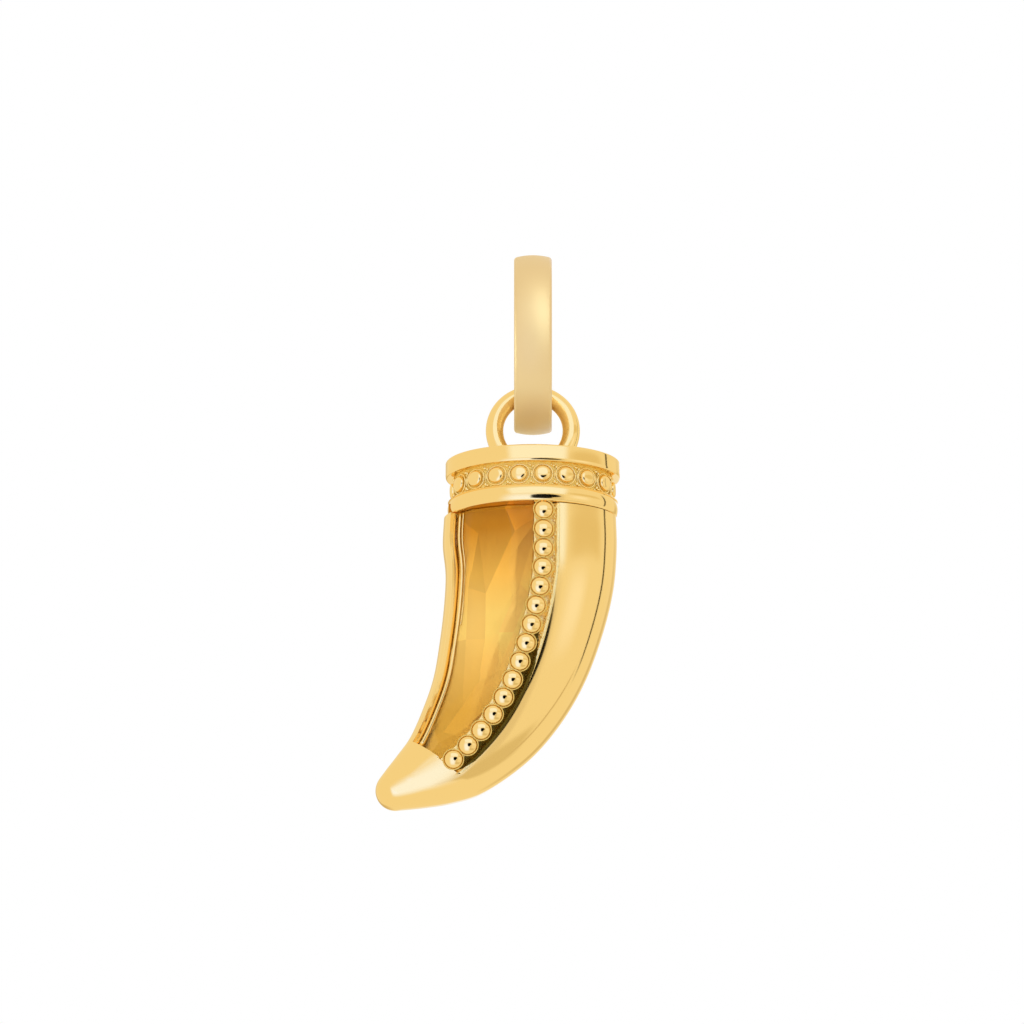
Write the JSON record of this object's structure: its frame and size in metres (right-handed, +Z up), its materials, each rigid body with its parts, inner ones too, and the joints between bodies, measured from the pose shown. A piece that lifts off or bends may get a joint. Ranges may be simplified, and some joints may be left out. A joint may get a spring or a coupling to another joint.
{
  "type": "gemstone claw pendant",
  "caption": "Curved gold claw pendant with a long honey-coloured cut stone, a beaded cap, a hanging loop and a plain ring bail.",
  "frame": {"origin": "crown of the bail's bore, at the top of the ring, where the chain carries the pendant", "axes": "+X to the viewer's right across the front, with the claw's tip on the -X side, +Y to the back, the stone's window on the -Y side, +Z up"},
  "size_m": [0.0153, 0.0112, 0.0363],
  "materials": {
    "gold_polished": "polished yellow gold",
    "gold_satin": "satin yellow gold",
    "honey_stone": "polished, transparent honey-coloured stone"
  },
  "bodies": {
    "bail": {"bail": "gold_satin"},
    "pendant": {"cap": "gold_polished", "claw_setting": "gold_polished", "stone": "honey_stone"}
  },
  "joints": [
    {"name": "pendant_swing", "type": "hinge", "parent": "bail", "child": "pendant", "pos_m": [0, 0, -0.00971], "axis": [0, 1, 0], "range_deg": [-80, 80]}
  ]
}
